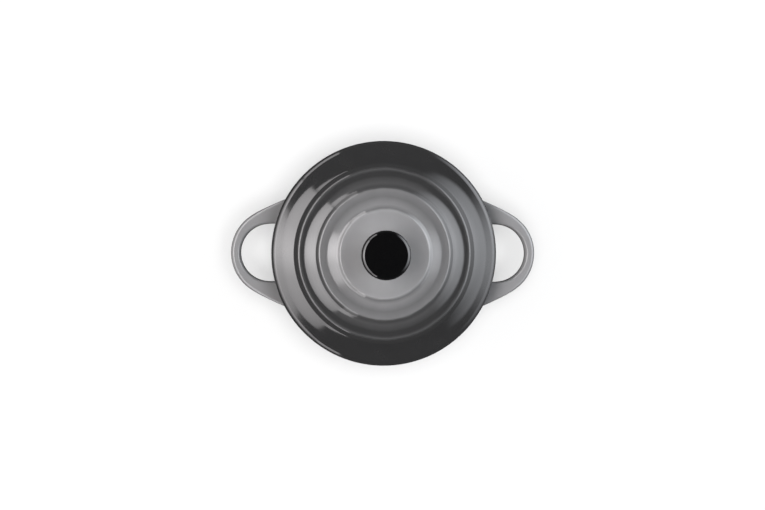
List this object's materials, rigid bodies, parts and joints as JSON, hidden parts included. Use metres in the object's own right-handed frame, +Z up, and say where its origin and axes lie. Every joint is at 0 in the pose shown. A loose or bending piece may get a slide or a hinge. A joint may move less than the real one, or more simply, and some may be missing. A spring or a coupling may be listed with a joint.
{
  "type": "lidded mini casserole pot",
  "caption": "Small round stoneware cocotte with loop handles and a lift-off stepped lid with a dark knob, for baking and serving one portion.",
  "frame": {"origin": "middle of the foot ring's underside, on the pot's axis", "axes": "+Z up along the pot's axis, +X towards a loop handle, +Y towards the top of the picture"},
  "size_m": [0.1378, 0.101, 0.0787],
  "materials": {
    "pot_glaze": "grey graded glaze over stoneware, pale inside, bare clay under the foot ring",
    "lid_glaze": "grey glaze over stoneware, graded from dark at the edge to pale in the middle, bare clay on the seat",
    "knob_phenolic": "polished black phenolic moulding",
    "insert_brass": "turned brass",
    "gasket_silicone": "matt black silicone",
    "fixing_steel": "plain stainless steel"
  },
  "bodies": {
    "pot": {"pot": "pot_glaze", "handle_right": "pot_glaze", "handle_left": "pot_glaze"},
    "lid": {"lid": "lid_glaze", "knob": "knob_phenolic", "knob_insert": "insert_brass", "knob_gasket": "gasket_silicone", "screw_gasket": "gasket_silicone", "screw_washer": "fixing_steel", "knob_screw": "fixing_steel"}
  },
  "joints": [
    {"name": "lid_lift", "type": "slide", "parent": "pot", "child": "lid", "axis": [0, 0, 1], "range_m": [0, 0.12]}
  ]
}
